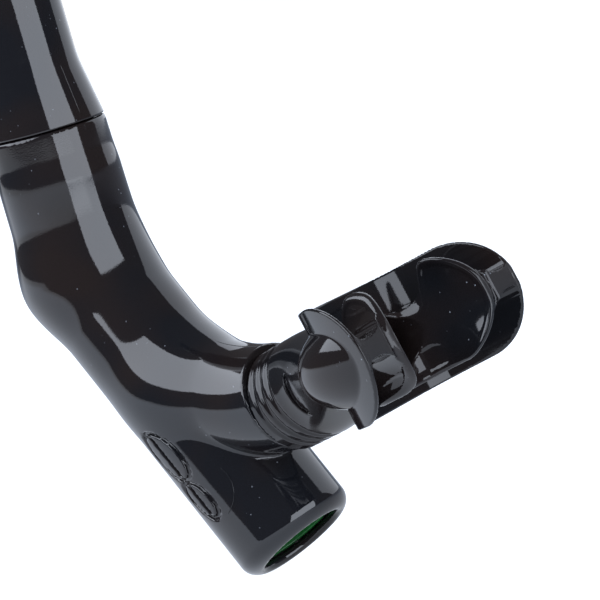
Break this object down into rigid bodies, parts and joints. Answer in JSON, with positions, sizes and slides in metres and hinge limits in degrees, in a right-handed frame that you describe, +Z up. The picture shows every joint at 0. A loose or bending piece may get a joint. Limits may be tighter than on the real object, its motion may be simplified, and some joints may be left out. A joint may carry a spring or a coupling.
{
  "type": "snorkel tube",
  "caption": "J-shaped snorkel with a flexible elbow, purge barrel with valve, swivelling bite mouthpiece, keeper with strap clip and a splash guard.",
  "frame": {"origin": "on the straight tube's axis, at the height where the keeper holds the tube to a mask strap", "axes": "+Z up along the straight tube, +X towards the wearer's mouth, symmetric about Y = 0"},
  "size_m": [0.1314, 0.0534, 0.4039],
  "materials": {
    "gloss_black_pvc": "soft PVC, moulded, high gloss",
    "gloss_black_silicone": "liquid silicone rubber, polished mould",
    "green_housing": "translucent green moulded plastic",
    "clear_silicone": "translucent silicone flap",
    "satin_black_plastic": "satin moulded plastic",
    "bright_band": "bright safety band"
  },
  "bodies": {
    "snorkel": {"tube": "gloss_black_pvc", "lower_body": "gloss_black_pvc", "purge_housing": "green_housing", "safety_band": "bright_band", "splash_guard_base": "satin_black_plastic", "splash_guard_cap": "satin_black_plastic", "splash_guard_baffle": "satin_black_plastic"},
    "mouthpiece": {"mouthpiece": "gloss_black_silicone"},
    "purge_valve": {"purge_valve": "clear_silicone"},
    "keeper": {"keeper_collar": "satin_black_plastic"},
    "strap_clip": {"strap_clip": "satin_black_plastic"}
  },
  "joints": [
    {"name": "mouthpiece_swivel", "type": "hinge", "parent": "snorkel", "child": "mouthpiece", "pos_m": [0.0594, 0, -0.1714], "axis": [0.9494, 0, 0.314], "continuous": true},
    {"name": "purge_valve_lift", "type": "slide", "parent": "snorkel", "child": "purge_valve", "axis": [0.5779, 0, -0.8161], "range_m": [0, 0.0015], "stiffness_N_per_m": 60, "springref_m": -0.001},
    {"name": "keeper_slide", "type": "slide", "parent": "snorkel", "child": "keeper", "axis": [0, 0, 1], "range_m": [-0.06, 0.08]},
    {"name": "strap_clip_swivel", "type": "hinge", "parent": "keeper", "child": "strap_clip", "pos_m": [0.0176, 0, 0], "axis": [1, 0, 0], "continuous": true}
  ]
}
